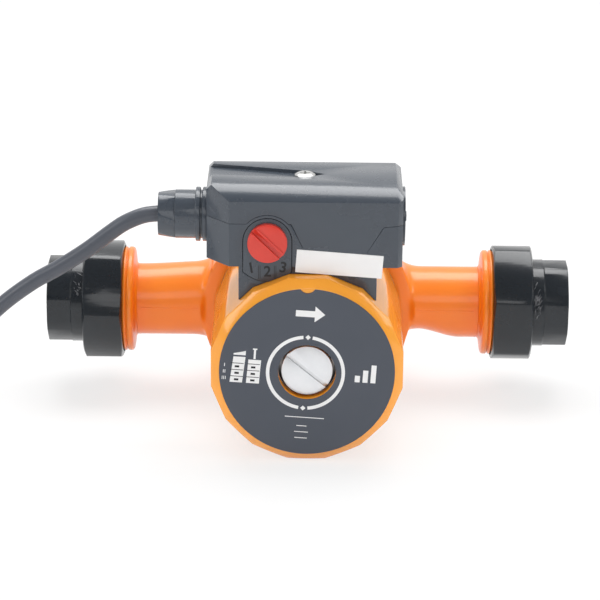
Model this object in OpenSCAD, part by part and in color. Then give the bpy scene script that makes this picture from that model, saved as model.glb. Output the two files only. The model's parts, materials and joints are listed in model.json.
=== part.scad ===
// Wet-rotor circulation pump for a heating loop, with unions, terminal box and mains lead.
// The pipe axis runs along X, the motor axis points to the front (-Y), and Z is up.
// The origin is on the standing surface, under the middle of the pump without its lead.

/* [Ports] */
// Distance between the two port faces
install_len = 180; // [160:1:200]
// Outside diameter of the port thread
port_thread_d = 47.8; // [44:0.1:52]
// Pitch of the port thread
thread_pitch = 2.309; // [1.8:0.001:2.6]
// Length of the threaded stretch of a port
port_thread_len = 9.2; // [9:0.1:13]
// Bore of the ports
port_bore_d = 25; // [18:0.5:27]
// Outside diameter of a neck where it meets its port
neck_d = 32.5; // [30:0.1:36]

/* [Pump housing] */
// Diameter of the round pump housing
drum_d = 96; // [94:0.5:106]
// Distance from the pipe axis forward to the joint with the motor
joint_f = 15; // [14:0.5:20]
// Distance from the pipe axis back to the rear of the housing
drum_back = 32; // [30:0.5:40]
// Diameter of the impeller chamber
chamber_d = 74; // [70:0.5:76]
// Depth of the impeller chamber
chamber_depth = 14; // [12:0.5:15]
// Diameter of the impeller
impeller_d = 62; // [50:1:66]
// Number of impeller blades
blade_count = 7; // [5:1:9]

/* [Motor] */
// Width of the motor housing across two opposite flats
motor_flat = 83.2; // [80:0.1:84]
// Distance from the pipe axis forward to the front face of the motor
motor_front = 93; // [91:0.5:97]
// Wall of the motor housing
motor_wall = 3.2; // [2.5:0.1:3.8]
// Diameter of the front face inside its bevel
face_d = 75.8; // [70:0.1:76]
// Depth of the bevel round the front face
face_bevel = 2.8; // [1:0.1:4]
// Diameter of the hole that holds the vent plug
vent_hole_d = 24.9; // [24:0.1:28]
// Diameter of the vent plug's head
vent_plug_d = 22; // [20:0.1:22.6]
// Diameter of the motor shaft
shaft_d = 8; // [6:0.5:9]
// Diameter of the rotor
rotor_d = 36.2; // [30:0.1:36.6]
// Length of the rotor
rotor_len = 36; // [28:1:38]
// Inside diameter of the rotor can
can_bore_d = 37; // [37:0.1:38]

/* [Terminal box] */
// Left side of the box, from the motor axis
box_left = 43.9; // [42:0.1:46]
// Right side of the box, from the motor axis
box_right = 40.4; // [40:0.1:44]
// Rear face of the box, ahead of the pipe axis
box_back = 38; // [36:0.5:40]
// Front face of the box, ahead of the pipe axis
box_front = 85; // [84:0.5:87]
// Underside of the box, above the motor axis
box_floor = 45; // [44:0.5:46]
// Height of the joint between base and cover, above the motor axis
split_h = 64; // [63:0.1:65]
// Height of the cover's top above that joint
cover_h = 14.5; // [13.5:0.5:20]
// Wall of the box
box_wall = 2.4; // [2:0.1:2.8]
// Lowest point of the saddle that reaches down over the motor, above its axis
skirt_low = 29; // [28.5:0.5:32]
// Diameter of the speed knob
knob_d = 17; // [15:0.1:18]
// Width of the dial plate round the knob
dial_w = 20.7; // [20:0.1:22]

/* [Unions] */
// Width of a union nut along the pipe
nut_w = 18.1; // [17.5:0.1:20]
// Radius of a union nut at its six edges
nut_edge_r = 27.4; // [27.2:0.1:29]
// Length of a tail beyond its port face
tail_len = 28.9; // [27:0.1:34]
// Diameter of the band on a tail beside the nut
tail_d = 39.8; // [39:0.1:40.4]
// Bore of the female pipe thread at the tail's end
tail_thread_d = 30.3; // [28:0.1:31]
// Depth of the female pipe thread
tail_thread_len = 17; // [14:0.5:17]

/* [Mains lead] */
// Diameter of the lead
lead_d = 7; // [6:0.1:7.2]
// Loops in each of the two layers of the coil
layer_loops = 2; // [1:1:3]
// Radius of the coil's outermost loop, at the middle of the lead
coil_r = 43.6; // [43:0.1:48]
// Diameter of the plug body
plug_d = 37; // [34:0.5:39]

/* [Hidden] */

// General clearances and the overrun of every cut
over = 1;
run_gap = 0.3;
shaft_gap = 0.03;
seat_gap = 0.05;
round_fn = 96;
small_fn = 48;

// The frame: the motor axis stands half a flat above the surface
axis_h = motor_flat / 2;
label_t = 0.5;
box_top = split_h + cover_h;
centre_y = (motor_front + label_t - drum_back) / 2;
port_x = install_len / 2;

// Children are drawn with X to the right, Y up and Z forward from the crossing of the two axes
module pump_frame() {
    translate([0, centre_y, axis_h]) rotate([90, 0, 0]) children();
}

// Children are drawn with Z along the pipe, away from the motor; side is 1 or -1
module pipe_frame(side) {
    pump_frame() rotate([0, side * 90, 0]) children();
}

module ring(outer_r, inner_r, len) {
    difference() {
        cylinder(h = len, r = outer_r, $fn = round_fn);
        translate([0, 0, -over]) cylinder(h = len + 2 * over, r = inner_r, $fn = round_fn);
    }
}

function on_circle(r, a) = [r * cos(a), r * sin(a)];
function ring_points(r, count, first = 0) =
    [for (i = [0 : count - 1]) on_circle(r, first + i * 360 / count)];
function arc_points(centre, r, from, to, steps) =
    [for (i = [0 : steps]) centre + on_circle(r, from + (to - from) * i / steps)];

// Pump housing
thread_depth = 1.3;
collar_len = 1.3;
neck_root_r = 24;
neck_flare_x = 40;
drum_side_r = 44.5;
drum_round = 12;
drum_taper = 4;
rim_len = 12;
passage_r = 10;
passage_start = 60;
passage_back = 18;
pocket_r = 10.6;
outlet_r = 11;
outlet_start = 24;
eye_ring_r = 12;
eye_ring_len = 4;
seal_groove_r = 38.5;
seal_w = 2.4;
seal_t = 1;
screw_place = 32.7;
lug_r = 7;
lug_len = 17;
screw_r = 2.5;
screw_hole_r = 2.75;
screw_head_r = 4.25;
screw_head_h = 5;
screw_key_r = 2.3;
screw_key_depth = 2.5;
screw_depth = 11;
thread_r = port_thread_d / 2;
thread_start = port_x - port_thread_len;
thread_turns = floor(port_thread_len / thread_pitch);
crest_share = 0.25;
root_share = 0.75;

// The thread as rings: one crest and one root for each turn
function thread_profile(from) = [for (i = [0 : thread_turns - 1]) each [
    [thread_r, from + (i + crest_share) * thread_pitch],
    [thread_r - thread_depth, from + (i + root_share) * thread_pitch]]];

module neck_outside() {
    rotate_extrude($fn = round_fn) polygon(concat(
        [[0, 0], [neck_root_r, 0], [neck_root_r, neck_flare_x - drum_round]],
        [for (i = [0 : 8]) let (a = i * 90 / 8)
            [neck_d / 2 + (neck_root_r - neck_d / 2) * (1 - sin(a)),
             neck_flare_x + drum_round * (1 - cos(a))]],
        [[neck_d / 2, thread_start - 2 * collar_len]],
        [for (i = [1 : 6]) let (a = i * 90 / 6)
            [neck_d / 2 + (thread_r - neck_d / 2) * (1 - cos(a)),
             thread_start - 2 * collar_len + collar_len * sin(a)]],
        [[thread_r, thread_start]],
        thread_profile(thread_start),
        [[thread_r - thread_depth, port_x], [0, port_x]]));
}

module at_lugs() {
    for (sx = [-1, 1]) for (sy = [-1, 1]) translate([sx * screw_place, sy * screw_place, 0]) children();
}

module drum_outside() {
    rotate_extrude($fn = round_fn) polygon(concat(
        [[0, -drum_back]],
        arc_points([drum_side_r - drum_round, drum_round - drum_back], drum_round, -90, 0, 8),
        [[drum_side_r, joint_f - rim_len - drum_taper], [drum_d / 2, joint_f - rim_len],
         [drum_d / 2, joint_f], [0, joint_f]]));
    translate([0, 0, joint_f - lug_len]) at_lugs() cylinder(h = lug_len, r = lug_r, $fn = small_fn);
}

module pump_housing() {
    color("darkorange") pump_frame() difference() {
        union() {
            intersection() {
                drum_outside();
                translate([-drum_d, -axis_h, -drum_back - over])
                    cube([2 * drum_d, 2 * axis_h, drum_back + joint_f + 2 * over]);
            }
            for (side = [-1, 1]) rotate([0, side * 90, 0]) neck_outside();
        }
        translate([0, 0, joint_f - chamber_depth])
            cylinder(h = chamber_depth + drum_back, r = chamber_d / 2, $fn = round_fn);
        translate([0, 0, joint_f - chamber_depth - eye_ring_len - over])
            cylinder(h = eye_ring_len + 2 * over, r = eye_ring_r, $fn = round_fn);
        translate([0, 0, -passage_back])
            cylinder(h = passage_back, r = pocket_r, $fn = round_fn);
        translate([0, 0, joint_f - seal_t]) ring(seal_groove_r + seal_w, seal_groove_r, seal_t + over);
        translate([0, 0, joint_f]) cylinder(h = neck_root_r, r = drum_d / 2 + run_gap, $fn = round_fn);
        for (side = [-1, 1]) rotate([0, side * 90, 0])
            translate([0, 0, passage_start - over])
                cylinder(h = port_x, r = port_bore_d / 2, $fn = round_fn);
        rotate([0, 90, 0]) translate([0, 0, outlet_start])
            cylinder(h = passage_start - outlet_start, r = outlet_r, $fn = round_fn);
        translate([-passage_start, 0, 0])
            rotate([0, 90 + atan(passage_back / passage_start), 0])
                cylinder(h = norm([passage_start, passage_back]) - pocket_r / 2, r = passage_r, $fn = round_fn);
        translate([0, 0, joint_f - screw_depth - over]) at_lugs()
            cylinder(h = screw_depth + 2 * over, r = screw_r + seat_gap, $fn = small_fn);
    }
}

// Impeller: a closed wheel with curved blades between two shrouds
shroud_t = 1.5;
blade_h = 6;
blade_t = 1.4;
impeller_gap = 2;
impeller_f = joint_f - chamber_depth + impeller_gap;
eye_r = eye_ring_r - run_gap;
eye_wall = 1.5;
hub_r = 6.5;

module impeller_blade() {
    tip_r = impeller_d / 2 - blade_t;
    root_r = eye_r + blade_t;
    inner = [for (i = [0 : 6]) on_circle(root_r + (tip_r - root_r) * i / 6, -i * 10)];
    outer = [for (i = [6 : -1 : 0]) on_circle(root_r + (tip_r - root_r) * i / 6, 6 - i * 10)];
    linear_extrude(blade_h + shroud_t) polygon(concat(inner, outer));
}

module impeller() {
    color("wheat") pump_frame() difference() {
        union() {
            translate([0, 0, impeller_f]) ring(impeller_d / 2, eye_r - eye_wall, shroud_t);
            translate([0, 0, impeller_f - eye_ring_len]) ring(eye_r, eye_r - eye_wall, eye_ring_len + shroud_t);
            translate([0, 0, impeller_f + shroud_t / 2]) for (i = [0 : blade_count - 1])
                rotate([0, 0, i * 360 / blade_count]) impeller_blade();
            translate([0, 0, impeller_f + shroud_t + blade_h])
                cylinder(h = shroud_t, r = impeller_d / 2, $fn = round_fn);
            translate([0, 0, impeller_f + shroud_t]) cylinder(h = blade_h + shroud_t / 2, r = hub_r, $fn = small_fn);
        }
        cylinder(h = motor_front, r = shaft_d / 2 + seat_gap, $fn = small_fn);
    }
}

// Rotor: shaft, core and thrust ring turn on two bushes inside the can
plate_t = 1.5;
bush_r = 7;
bush_len = 10;
can_wall = 0.8;
can_r = can_bore_d / 2 + can_wall;
can_end = 80;
rotor_gap = 4;
end_gap = 2;
rotor_f = joint_f + plate_t + bush_len + rotor_gap;
thrust_f = impeller_f + 2 * shroud_t + blade_h;
shaft_end = can_end - end_gap;
rear_bush_f = shaft_end - bush_len + end_gap / 2;

module shaft() {
    color("gainsboro") pump_frame() translate([0, 0, impeller_f + shroud_t])
        cylinder(h = shaft_end - impeller_f - shroud_t, r = shaft_d / 2, $fn = small_fn);
}

module thrust_ring() {
    color("dimgray") pump_frame() translate([0, 0, thrust_f])
        ring(hub_r, shaft_d / 2 + seat_gap, joint_f - thrust_f - run_gap);
}

module rotor_core() {
    color("silver") pump_frame() translate([0, 0, rotor_f])
        ring(rotor_d / 2, shaft_d / 2 + seat_gap, rotor_len);
}

module bush(from) {
    color("dimgray") pump_frame() translate([0, 0, from])
        ring(bush_r, shaft_d / 2 + shaft_gap, bush_len);
}
module front_bearing() { bush(joint_f); }
module rear_bearing() { bush(rear_bush_f); }

module bearing_plate() {
    color("silver") pump_frame() translate([0, 0, joint_f]) {
        ring(axis_h, bush_r + seat_gap, plate_t);
        ring(bush_r + can_wall + seat_gap, bush_r + seat_gap, bush_len);
    }
}

module housing_seal() {
    color("black") pump_frame() translate([0, 0, joint_f - seal_t])
        ring(seal_groove_r + seal_w - seat_gap, seal_groove_r + seat_gap, seal_t);
}

// Can: a thin cup round the rotor, with a hub for the rear bush and a boss for the vent plug
boss_r = 10.5;
boss_len = 6;
stem_r = 7.5;
can_flange_r = 36;

module rotor_can() {
    color("lightgray") pump_frame() translate([0, 0, joint_f + plate_t]) {
        can_len = can_end - joint_f - plate_t;
        ring(can_r, can_bore_d / 2, can_len);
        ring(can_flange_r, can_bore_d / 2, can_wall);
        translate([0, 0, can_len - can_wall]) ring(can_r, stem_r + seat_gap, can_wall);
        translate([0, 0, can_len - can_wall]) ring(boss_r, stem_r + seat_gap, boss_len + can_wall);
        translate([0, 0, rear_bush_f - joint_f - plate_t])
            ring(boss_r, bush_r + seat_gap, can_end - rear_bush_f - can_wall);
    }
}

// Stator: laminated core with its windings in the slots
stator_r = motor_flat / 2 - motor_wall - seat_gap;
slot_count = 12;
slot_in = 23;
slot_out = 32;
slot_w = 5;
winding_h = 9;
winding_out = 34;
winding_in = 22;

module slots(gap) {
    for (i = [0 : slot_count - 1]) rotate([0, 0, i * 360 / slot_count])
        translate([slot_in + gap, -slot_w / 2 + gap, -over])
            cube([slot_out - slot_in - 2 * gap, slot_w - 2 * gap, rotor_len + 2 * over]);
}

module stator_core() {
    color("slategray") pump_frame() translate([0, 0, rotor_f]) difference() {
        ring(stator_r, can_r + seat_gap, rotor_len);
        slots(0);
    }
}

module stator_windings() {
    color("chocolate") pump_frame() translate([0, 0, rotor_f]) {
        slots(seat_gap);
        for (z = [-winding_h - seat_gap, rotor_len + seat_gap])
            translate([0, 0, z]) ring(winding_out, winding_in, winding_h);
    }
}

// Motor housing: a sixteen-sided cup with a bevelled front
side_count = 16;
housing_f = joint_f + plate_t;
flange_t = 5.5;
front_wall = 3.5;
collar_back = 3.4;
collar_t = 2;
turret_w = 30;
turret_from = 50;
turret_len = 28;
wire_hole_r = 5;
wire_f = 72;
corner_r = motor_flat / 2 / cos(180 / side_count);

module motor_prism(len, gap = 0) {
    linear_extrude(len) polygon(ring_points(corner_r + gap, side_count, 180 / side_count));
}

module motor_housing() {
    color("orange") pump_frame() difference() {
        union() {
            intersection() {
                translate([0, 0, housing_f]) motor_prism(motor_front - housing_f);
                rotate_extrude($fn = round_fn) polygon([[0, housing_f], [motor_flat, housing_f],
                    [motor_flat, motor_front - face_bevel - (motor_flat - axis_h) * face_bevel
                        / (axis_h - face_d / 2)], [face_d / 2, motor_front], [0, motor_front]]);
            }
            translate([0, 0, housing_f]) at_lugs() cylinder(h = flange_t, r = lug_r, $fn = small_fn);
            translate([-turret_w / 2, 0, turret_from]) cube([turret_w, box_floor, turret_len]);
        }
        translate([0, 0, housing_f - over])
            cylinder(h = can_wall + over, r = can_flange_r + seat_gap, $fn = round_fn);
        translate([0, 0, housing_f - over])
            cylinder(h = motor_front - housing_f - front_wall + over, r = axis_h - motor_wall, $fn = round_fn);
        translate([0, 0, housing_f]) cylinder(h = motor_front, r = vent_hole_d / 2, $fn = round_fn);
        translate([0, 0, housing_f - over]) at_lugs()
            cylinder(h = flange_t + 2 * over, r = screw_hole_r, $fn = small_fn);
        translate([0, 0, wire_f]) rotate([-90, 0, 0])
            cylinder(h = box_top, r = wire_hole_r, $fn = small_fn);
    }
    color("orange") pump_frame() translate([0, 0, motor_front - front_wall - collar_back])
        ring(vent_hole_d / 2 + collar_t, vent_hole_d / 2, collar_back);
}

module housing_screws() {
    color("dimgray") pump_frame() translate([0, 0, housing_f + flange_t]) at_lugs() difference() {
        union() {
            cylinder(h = screw_head_h, r = screw_head_r, $fn = small_fn);
            translate([0, 0, -flange_t - plate_t - screw_depth])
                cylinder(h = flange_t + plate_t + screw_depth, r = screw_r, $fn = small_fn);
        }
        translate([0, 0, screw_head_h - screw_key_depth])
            cylinder(h = screw_key_depth + over, r = screw_key_r, $fn = 6);
    }
}

// Label: a thin disc with a notch where a tab of the housing shows
label_notch_r = 3.6;
label_notch_h = 1.9;

module label_plate() {
    color("slategray") pump_frame() translate([0, 0, motor_front]) difference() {
        ring(face_d / 2, vent_hole_d / 2, label_t);
        translate([0, face_d / 2 + label_notch_r - label_notch_h, -over])
            cylinder(h = label_t + 2 * over, r = label_notch_r, $fn = small_fn);
    }
}

// Vent plug: slotted head, stem into the can's boss, soft ring between
plug_sink = 1.7;
plug_front = motor_front - plug_sink;
vent_seal_t = 1;
plug_slot_w = 1.6;
plug_slot_depth = 1.2;
plug_slot_angle = -39;
boss_end = can_end + boss_len;
plug_head_f = boss_end + vent_seal_t;

module vent_plug() {
    color("silver") pump_frame() difference() {
        union() {
            translate([0, 0, plug_head_f])
                cylinder(h = plug_front - plug_head_f, r = vent_plug_d / 2, $fn = round_fn);
            translate([0, 0, can_end]) cylinder(h = boss_len + over, r = stem_r - shaft_gap, $fn = small_fn);
        }
        rotate([0, 0, plug_slot_angle])
            translate([-vent_plug_d, -plug_slot_w / 2, plug_front - plug_slot_depth])
            cube([2 * vent_plug_d, plug_slot_w, plug_slot_depth + over]);
    }
}

module vent_plug_seal() {
    color("black") pump_frame() translate([0, 0, boss_end])
        ring(boss_r, stem_r + seat_gap, vent_seal_t);
}

// Terminal box: its outlines from above, from the side and from the front
corner_w = 10;
corner_depth = 11.6;
top_bevel_w = 9;
top_bevel_h = 4.5;
side_bevel = 2;
right_bevel = 2.6;
skirt_left = 29.8;
skirt_right = 29.5;
skirt_step = 0.6;
saddle_gap = 0.2;
box_depth = box_front - box_back;
slant = norm([corner_w, corner_depth]);

// Outline of the box seen from above, drawn in by i; points are [x, forward]
function plan(i) = [[-box_left + i, box_back + i], [box_right - i, box_back + i],
    [box_right - i, box_front - i - side_bevel], [box_right - i - side_bevel, box_front - i],
    [-box_left + corner_w + i * (slant - corner_w) / corner_depth, box_front - i],
    [-box_left + i, box_front - corner_depth - i * (slant - corner_depth) / corner_w]];

// Profile of the box seen from its right side, drawn in by i; points are [forward, up]
function profile(i) = [[box_back + i, 0], [box_back + i, box_top - side_bevel - i],
    [box_back + side_bevel + i, box_top - i], [box_front - top_bevel_w - i / 2, box_top - i],
    [box_front - i, box_top - top_bevel_h - i / 2], [box_front - i, 0]];

// Front view of the box, drawn in by i; points are [x, up]
function front_view(i) = [[-box_left + i, 0], [box_right - i, 0],
    [box_right - i, box_top - right_bevel - i / 2], [box_right - right_bevel - i / 2, box_top - i],
    [-box_left + side_bevel + i / 2, box_top - i], [-box_left + i, box_top - right_bevel - i / 2]];

// The whole box between two heights, drawn in by i
module box_solid(i, from, to) {
    intersection() {
        translate([0, to, 0]) rotate([90, 0, 0]) linear_extrude(to - from)
            polygon([for (p = plan(i)) [p.x, p.y]]);
        translate([-box_left, 0, 0]) rotate([0, 90, 0]) linear_extrude(box_left + box_right)
            polygon([for (p = profile(i)) [-p.x, p.y]]);
        linear_extrude(box_front) polygon(front_view(i));
    }
}

// Front joint line between base and cover
knob_x = -17.5;
knob_up = 56.2;
arch_r = 11.8;
flap_left = -2.4;
flap_turn = 53.5;
flap_low = 46;
flap_right = 25.1;
flap_right_turn = 51.4;
flap_top = 32.2;
flap_lean = 5;
flap_drop = 1;
zone_play = 0.4;
front_zone = box_wall + zone_play;

module cover_front(gap) {
    difference() {
        polygon([[-box_left - over, split_h + gap], [flap_left - flap_lean + gap, split_h + gap],
            [flap_left + gap, flap_turn], [flap_left + gap, flap_low + gap],
            [flap_right - gap, flap_low + gap], [flap_right - gap, flap_right_turn],
            [flap_top - gap, split_h - flap_drop + gap], [box_right + over, split_h + gap],
            [box_right + over, box_top + over], [-box_left - over, box_top + over]]);
        translate([knob_x, knob_up]) circle(r = arch_r + gap, $fn = round_fn);
    }
}

// Part of a side wall that carries the gland or the blanking plug and stays with the base
side_port_f = 60;
side_port_drop = 3.5;
side_port_up = split_h - side_port_drop;
side_port_w = 27;
side_port_top = side_port_up + side_port_w / 2;
joint_gap = 0.15;

module side_tabs(gap) {
    for (sx = [-1, 1]) translate([sx * (sx > 0 ? box_right : box_left), 0, side_port_f - side_port_w / 2 - gap])
        translate([-box_wall - over, split_h - over, 0])
            cube([2 * (box_wall + over), side_port_top - split_h + over + gap, side_port_w + 2 * gap]);
}

// Dial plate: round over the knob, straight sides, and a shallow curved lower edge
dial_gap = 0.3;
dial_t = 2.6;
dial_side_up = 42.6;
dial_low = 38.2;
knob_t = 2.6;
knob_lift = 0.3;
knob_stem_r = 3.5;
knob_slot_w = 2.2;
knob_rib_w = 0.8;
knob_rib_h = 0.5;
knob_slot_depth = 1;
knob_angle = -44;
rib_len_share = 0.88;

module dial_shape(gap) {
    half = dial_w / 2 + gap;
    translate([knob_x, 0]) polygon(concat(
        arc_points([0, knob_up], half, 0, 180, 24),
        [for (i = [0 : 8]) let (s = -1 + i / 4)
            [half * s, dial_low - gap + (dial_side_up - dial_low) * s * s]]));
}

// Cover screw, its bosses and the shallow channel round its head
screw_x = -1.7;
screw_f = 58;
cover_screw_r = 2;
cover_head_r = 4.55;
cover_head_h = 2.1;
head_rim_share = 0.6;
head_top_share = 0.7;
cover_key_w = 0.9;
boss_outer_r = 4.2;
cover_screw_clear = 5.6;
channel_depth = 1.5;
cover_screw_len = box_top - channel_depth - box_floor - box_wall - cover_screw_clear;
channel_from = 60;
channel_to = 43.5;
channel_tail = 8.8;
skirt_chamfer = 1;
side_hole_r = 8;

module box_base() {
    color("slategray") pump_frame() difference() {
        union() {
            difference() {
                box_solid(0, box_floor, split_h);
                box_solid(box_wall, box_floor + box_wall, split_h + over);
                translate([0, 0, box_front - front_zone]) linear_extrude(front_zone + over)
                    cover_front(0);
            }
            intersection() {
                difference() {
                    box_solid(0, split_h - over, side_port_top);
                    box_solid(box_wall, split_h - 2 * over, side_port_top + over);
                }
                side_tabs(0);
            }
            intersection() {
                box_solid(0, split_h - arch_r, box_top - top_bevel_h);
                translate([knob_x, knob_up, box_front - box_wall])
                    cylinder(h = box_wall, r = arch_r, $fn = round_fn);
            }
            difference() {
                translate([0, 0, box_back + box_wall]) linear_extrude(box_depth - box_wall - skirt_step)
                    polygon([[-skirt_left, skirt_low + skirt_chamfer], [-skirt_left + skirt_chamfer, skirt_low],
                        [skirt_right - skirt_chamfer, skirt_low], [skirt_right, skirt_low + skirt_chamfer],
                        [skirt_right, box_floor + over], [-skirt_left, box_floor + over]]);
                motor_prism(box_front, saddle_gap);
                translate([-turret_w / 2 - run_gap, 0, turret_from - run_gap])
                    cube([turret_w + 2 * run_gap, box_floor, turret_len + 2 * run_gap]);
            }
            translate([screw_x, box_floor + box_wall / 2, screw_f]) rotate([-90, 0, 0])
                cylinder(h = split_h - box_floor - box_wall / 2, r = boss_outer_r, $fn = small_fn);
        }
        translate([0, 0, box_front - dial_t]) linear_extrude(dial_t + over) dial_shape(dial_gap);
        translate([knob_x, knob_up, box_back + box_wall])
            cylinder(h = box_depth, r = knob_stem_r + dial_gap, $fn = small_fn);
        translate([screw_x, box_floor + box_wall, screw_f]) rotate([-90, 0, 0])
            cylinder(h = split_h, r = cover_screw_r + seat_gap, $fn = small_fn);
        translate([0, box_floor - over, wire_f]) rotate([-90, 0, 0])
            cylinder(h = box_wall + 2 * over, r = wire_hole_r, $fn = small_fn);
        for (sx = [-1, 1]) translate([0, side_port_up, side_port_f]) rotate([0, sx * 90, 0])
            cylinder(h = box_left + over, r = side_hole_r, $fn = small_fn);
    }
}

module box_cover() {
    color("slategray") pump_frame() difference() {
        union() {
            difference() {
                box_solid(0, split_h + joint_gap, box_top);
                box_solid(box_wall, split_h - over, box_top);
                side_tabs(joint_gap);
                translate([knob_x, knob_up, box_front - front_zone])
                    cylinder(h = front_zone + over, r = arch_r + joint_gap, $fn = round_fn);
            }
            intersection() {
                box_solid(0, box_floor, split_h + over);
                translate([0, 0, box_front - box_wall]) linear_extrude(box_wall) cover_front(joint_gap);
            }
            translate([screw_x, split_h + joint_gap, screw_f]) rotate([-90, 0, 0])
                cylinder(h = cover_h - joint_gap - (box_wall + channel_depth) / 2, r = boss_outer_r, $fn = small_fn);
        }
        translate([screw_x, split_h - over, screw_f]) rotate([-90, 0, 0])
            cylinder(h = box_top, r = cover_screw_r + shaft_gap, $fn = small_fn);
        translate([0, box_top + over, 0]) rotate([90, 0, 0]) linear_extrude(channel_depth + over)
            polygon([[-box_left - over, channel_to], [screw_x, screw_f - cover_head_r - run_gap],
                [screw_x + channel_tail, screw_f],
                [screw_x, screw_f + cover_head_r + run_gap], [-box_left - over, channel_from]]);
        translate([screw_x, box_top - channel_depth, screw_f]) rotate([-90, 0, 0])
            cylinder(h = channel_depth + over, r = cover_head_r + run_gap, $fn = small_fn);
    }
}

module cover_screw() {
    color("silver") pump_frame() translate([screw_x, box_top - channel_depth, screw_f]) rotate([-90, 0, 0])
        difference() {
            union() {
                cylinder(h = cover_head_h * head_rim_share, r = cover_head_r, $fn = small_fn);
                translate([0, 0, cover_head_h * head_rim_share])
                    cylinder(h = cover_head_h * (1 - head_rim_share), r1 = cover_head_r,
                        r2 = cover_head_r * head_top_share, $fn = small_fn);
                translate([0, 0, -cover_screw_len])
                    cylinder(h = cover_screw_len + over, r = cover_screw_r, $fn = small_fn);
            }
            for (a = [0, 90]) rotate([0, 0, a])
                translate([-cover_head_r / 2, -cover_key_w / 2, cover_head_h - over])
                    cube([cover_head_r, cover_key_w, 2 * over]);
        }
}

module dial_plate() {
    color("slategray") pump_frame() difference() {
        translate([0, 0, box_front - dial_t]) linear_extrude(dial_t) dial_shape(0);
        translate([knob_x, knob_up, 0]) cylinder(h = motor_front, r = knob_stem_r + shaft_gap, $fn = small_fn);
        motor_prism(box_front + over, saddle_gap);
    }
}

switch_gap = 0.2;
switch_w = 20;
switch_h = 13;
switch_front = box_front - box_wall - dial_gap;
switch_depth = 13;
stem_grip = 4;

module speed_knob() {
    color("red") pump_frame() translate([knob_x, knob_up, 0]) {
        difference() {
            translate([0, 0, box_front + knob_lift]) cylinder(h = knob_t, r = knob_d / 2, $fn = round_fn);
            rotate([0, 0, knob_angle])
                translate([-knob_d, -knob_slot_w / 2, box_front + knob_lift + knob_t - knob_slot_depth])
                    cube([2 * knob_d, knob_slot_w, knob_slot_depth + over]);
        }
        rotate([0, 0, knob_angle]) for (s = [-1, 1])
            translate([-knob_d * rib_len_share / 2, s * (knob_slot_w + knob_rib_w) / 2 - knob_rib_w / 2,
                box_front + knob_lift + knob_t]) cube([knob_d * rib_len_share, knob_rib_w, knob_rib_h]);
        translate([0, 0, switch_front - stem_grip])
            cylinder(h = stem_grip + box_front + knob_lift - switch_front, r = knob_stem_r, $fn = small_fn);
    }
}

module speed_switch() {
    color("dimgray") pump_frame() difference() {
        translate([knob_x - switch_w / 2, knob_up - switch_h / 2, switch_front - switch_depth])
            cube([switch_w, switch_h, switch_depth - switch_gap]);
        translate([knob_x, knob_up, switch_front - stem_grip - run_gap])
            cylinder(h = switch_depth, r = knob_stem_r + shaft_gap, $fn = small_fn);
    }
}

// Inside the box: capacitor on the right, terminal block along the rear
capacitor_size = [26, 14, 18];
capacitor_at = [11, 48, 62];
block_size = [44, 12, 9];
block_at = [-24, 48, 41];
block_ways = 4;
block_hole_r = 1.8;

module capacitor() {
    color("royalblue") pump_frame() translate([capacitor_at.x, box_floor + box_wall, capacitor_at.z])
        cube(capacitor_size - [0, box_wall, 0]);
}

module terminal_block() {
    color("ivory") pump_frame() difference() {
        translate([block_at.x, box_floor + box_wall, block_at.z]) cube(block_size);
        for (i = [0 : block_ways - 1])
            translate([block_at.x + block_size.x * (i + 0.5) / block_ways, box_floor + block_size.y / 2,
                block_at.z + block_size.z / 2]) {
                rotate([-90, 0, 0]) cylinder(h = box_top, r = block_hole_r, $fn = small_fn);
                cylinder(h = box_depth, r = block_hole_r, $fn = small_fn);
            }
    }
}

// Cable gland: flange and body outside, threaded spigot through the wall, nut over a soft ring
gland_flange_r = 11.8;
gland_flange_t = 2;
gland_rib_at = 3;
gland_body_r = 10.55;
gland_body_len = 14;
gland_end = 21.3;
gland_nut_flat = 18.7;
gland_bore_r = 4.5;
gland_seal_r = 6.5;
gland_seal_len = 5;
gland_nose_r = 7.8;
gland_nose_len = 5;
lead_r = lead_d / 2;
inner_end = 12;

module gland_frame(side = -1) {
    pump_frame() translate([side < 0 ? -box_left : box_right, side_port_up, side_port_f])
        rotate([0, side * 90, 0]) children();
}

module gland_body() {
    color("black") gland_frame() difference() {
        union() {
            cylinder(h = gland_flange_t, r = gland_flange_r, $fn = round_fn);
            cylinder(h = gland_body_len, r = gland_body_r, $fn = round_fn);
            translate([0, 0, gland_rib_at]) cylinder(h = gland_flange_t, r = gland_flange_r, $fn = round_fn);
            translate([0, 0, -box_wall - over])
                cylinder(h = 2 * gland_flange_t + box_wall, r = side_hole_r - seat_gap, $fn = small_fn);
            cylinder(h = gland_body_len + gland_nose_len, r = gland_nose_r, $fn = small_fn);
        }
        translate([0, 0, -inner_end]) cylinder(h = box_left, r = gland_bore_r, $fn = small_fn);
        translate([0, 0, gland_body_len]) cylinder(h = box_left, r = gland_seal_r + seat_gap, $fn = small_fn);
    }
}

module gland_seal() {
    color("black") gland_frame() translate([0, 0, gland_body_len])
        ring(gland_seal_r, lead_r + seat_gap, gland_seal_len);
}

module gland_nut() {
    color("black") gland_frame() difference() {
        translate([0, 0, gland_body_len + seat_gap]) intersection() {
            cylinder(h = gland_end - gland_body_len - seat_gap, r1 = gland_body_r, r2 = gland_nut_flat / 2,
                $fn = small_fn);
            cylinder(h = gland_end, r = gland_nut_flat / 2 / cos(180 / 6), $fn = 6);
        }
        translate([0, 0, gland_body_len - over])
            cylinder(h = gland_nose_len + over + run_gap, r = gland_nose_r + shaft_gap, $fn = small_fn);
        cylinder(h = box_left, r = lead_r + shaft_gap, $fn = small_fn);
    }
}

module lead_inner() {
    color("dimgray") gland_frame() translate([0, 0, -inner_end])
        cylinder(h = gland_end + inner_end, r = lead_r, $fn = small_fn);
}

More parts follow.
